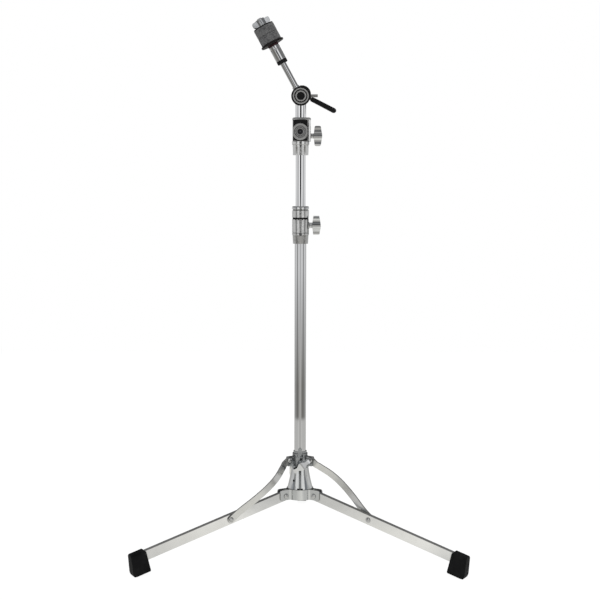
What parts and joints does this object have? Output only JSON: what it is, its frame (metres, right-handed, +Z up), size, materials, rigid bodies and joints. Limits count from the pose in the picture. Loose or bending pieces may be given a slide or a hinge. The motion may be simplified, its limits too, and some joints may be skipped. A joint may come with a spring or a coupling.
{
  "type": "straight cymbal stand",
  "caption": "Straight cymbal stand: telescoping chrome column, two wing-bolt clamps, tilter with side lever, felt-padded cymbal seat, folding flat tripod legs on rubber feet.",
  "frame": {"origin": "centre of the hub's flat underside, on the column's axis", "axes": "+Z up along the column; -Y is the front, from which the picture was taken; +X is to the right, where both clamp bolts and the tilter lever point; the floor plane is z = -0.098"},
  "size_m": [0.6111, 0.5331, 1.0175],
  "materials": {
    "chrome": "polished chrome plate",
    "cast_metal": "chrome-plated casting, slightly softer shine",
    "pressed_steel": "chrome-plated pressed sheet",
    "dark_steel": "dark plated steel",
    "black_plastic": "moulded, faint grain",
    "seat_plastic": "moulded, near black",
    "black_rubber": "matt moulded rubber",
    "grey_felt": "pressed wool felt",
    "white_nylon": "turned nylon"
  },
  "bodies": {
    "base": {"base_tube": "chrome", "hub_plug": "black_plastic", "hub_bell": "chrome", "leg_bracket": "pressed_steel", "leg_rivet_1": "dark_steel", "leg_rivet_2": "dark_steel", "leg_rivet_3": "dark_steel", "lower_clamp_body": "cast_metal", "lower_clamp_bush": "black_plastic", "lower_clamp_pin": "dark_steel"},
    "collar": {"sliding_collar": "cast_metal", "collar_rivet_1": "dark_steel", "collar_rivet_2": "dark_steel", "collar_rivet_3": "dark_steel"},
    "collar_bolt": {"collar_wing_bolt": "chrome"},
    "lower_bolt": {"lower_wing_bolt": "chrome"},
    "lock": {"memory_lock": "cast_metal", "memory_lock_screw": "dark_steel"},
    "middle": {"middle_tube": "chrome", "upper_clamp_body": "cast_metal", "upper_clamp_cap": "cast_metal", "clamp_panel": "black_plastic", "clamp_disc": "chrome"},
    "upper_bolt": {"upper_wing_bolt": "chrome"},
    "swivel_bush": {"upper_clamp_bush": "white_nylon"},
    "upper": {"upper_tube": "chrome", "tilter_base": "chrome", "tilter_bolt": "dark_steel", "tilter_dial": "black_plastic", "dial_outer_ring": "chrome", "dial_inner_ring": "chrome"},
    "lever": {"lever_nut": "cast_metal", "lever_grip": "black_plastic"},
    "arm": {"tilter_head": "chrome", "arm_rod": "chrome", "sleeve_band": "black_plastic", "arm_sleeve": "chrome", "seat_hub": "seat_plastic", "seat_washer": "seat_plastic", "cymbal_sleeve": "white_nylon", "lower_felt": "grey_felt"},
    "top_felt": {"upper_felt": "grey_felt", "top_washer": "black_plastic"},
    "nut": {"wing_nut": "cast_metal"},
    "leg_1_body": {"leg_1": "chrome", "rubber_foot_1": "black_rubber", "leg_stud_1": "dark_steel"},
    "brace_1_body": {"brace_1": "chrome", "brace_rivet_1": "dark_steel"},
    "leg_2_body": {"leg_2": "chrome", "rubber_foot_2": "black_rubber", "leg_stud_2": "dark_steel"},
    "brace_2_body": {"brace_2": "chrome", "brace_rivet_2": "dark_steel"},
    "leg_3_body": {"leg_3": "chrome", "rubber_foot_3": "black_rubber", "leg_stud_3": "dark_steel"},
    "brace_3_body": {"brace_3": "chrome", "brace_rivet_3": "dark_steel"}
  },
  "joints": [
    {"name": "collar_slide", "type": "slide", "parent": "base", "child": "collar", "axis": [0, 0, 1], "range_m": [0, 0.2087]},
    {"name": "leg_1_fold", "type": "hinge", "parent": "base", "child": "leg_1_body", "pos_m": [-0.02965, -0.01664, 0.008], "axis": [-0.4894, 0.8721, 0], "range_deg": [0, 99]},
    {"name": "brace_1_swing", "type": "hinge", "parent": "collar", "child": "brace_1_body", "pos_m": [-0.02137, -0.01199, 0.0753], "axis": [0.4894, -0.8721, 0], "range_deg": [0, 45.1]},
    {"name": "leg_2_fold", "type": "hinge", "parent": "base", "child": "leg_2_body", "pos_m": [0.02924, -0.01736, 0.008], "axis": [-0.5105, -0.8599, 0], "range_deg": [0, 99]},
    {"name": "brace_2_swing", "type": "hinge", "parent": "collar", "child": "brace_2_body", "pos_m": [0.02107, -0.01251, 0.0753], "axis": [0.5105, 0.8599, 0], "range_deg": [0, 45.1]},
    {"name": "leg_3_fold", "type": "hinge", "parent": "base", "child": "leg_3_body", "pos_m": [0.00042, 0.034, 0.008], "axis": [0.9999, -0.0122, 0], "range_deg": [0, 99]},
    {"name": "brace_3_swing", "type": "hinge", "parent": "collar", "child": "brace_3_body", "pos_m": [0.0003, 0.0245, 0.0753], "axis": [-0.9999, 0.0122, 0], "range_deg": [0, 45.1]},
    {"name": "collar_bolt_turn", "type": "hinge", "parent": "collar", "child": "collar_bolt", "pos_m": [0.00167, -0.01913, 0.0686], "axis": [0.0872, -0.9962, 0], "continuous": true},
    {"name": "lower_bolt_turn", "type": "hinge", "parent": "base", "child": "lower_bolt", "pos_m": [0.0167, 0, 0.5234], "axis": [1, 0, 0], "continuous": true},
    {"name": "lock_turn", "type": "hinge", "parent": "base", "child": "lock", "pos_m": [0, 0, 0.549], "axis": [0, 0, 1], "continuous": true},
    {"name": "middle_slide", "type": "slide", "parent": "lock", "child": "middle", "axis": [0, 0, 1], "range_m": [-0.097, 0.248]},
    {"name": "upper_bolt_turn", "type": "hinge", "parent": "middle", "child": "upper_bolt", "pos_m": [0.019, 0, 0.6934], "axis": [1, 0, 0], "continuous": true},
    {"name": "upper_turn", "type": "hinge", "parent": "middle", "child": "swivel_bush", "pos_m": [0, 0, 0.705], "axis": [0, 0, 1], "continuous": true},
    {"name": "upper_slide", "type": "slide", "parent": "swivel_bush", "child": "upper", "axis": [0, 0, 1], "range_m": [0, 0.3]},
    {"name": "lever_turn", "type": "hinge", "parent": "upper", "child": "lever", "pos_m": [0, 0.0088, 0.7683], "axis": [0, -1, 0], "range_deg": [-30, 180]},
    {"name": "arm_tilt", "type": "hinge", "parent": "upper", "child": "arm", "pos_m": [0, 0, 0.7683], "axis": [0, 1, 0], "range_deg": [-61.5, 118.5]},
    {"name": "top_felt_lift", "type": "slide", "parent": "arm", "child": "top_felt", "axis": [-0.4772, 0, 0.8788], "range_m": [0, 0.008]},
    {"name": "wing_nut_turn", "type": "hinge", "parent": "top_felt", "child": "nut", "pos_m": [-0.07196, 0, 0.90083], "axis": [-0.4772, 0, 0.8788], "continuous": true}
  ],
  "couplings": [
    {"joint": "leg_1_fold", "follows": "collar_slide", "rad_per_m": 8.278},
    {"joint": "brace_1_swing", "follows": "collar_slide", "rad_per_m": 3.769},
    {"joint": "leg_2_fold", "follows": "collar_slide", "rad_per_m": 8.278},
    {"joint": "brace_2_swing", "follows": "collar_slide", "rad_per_m": 3.769},
    {"joint": "leg_3_fold", "follows": "collar_slide", "rad_per_m": 8.278},
    {"joint": "brace_3_swing", "follows": "collar_slide", "rad_per_m": 3.769}
  ]
}
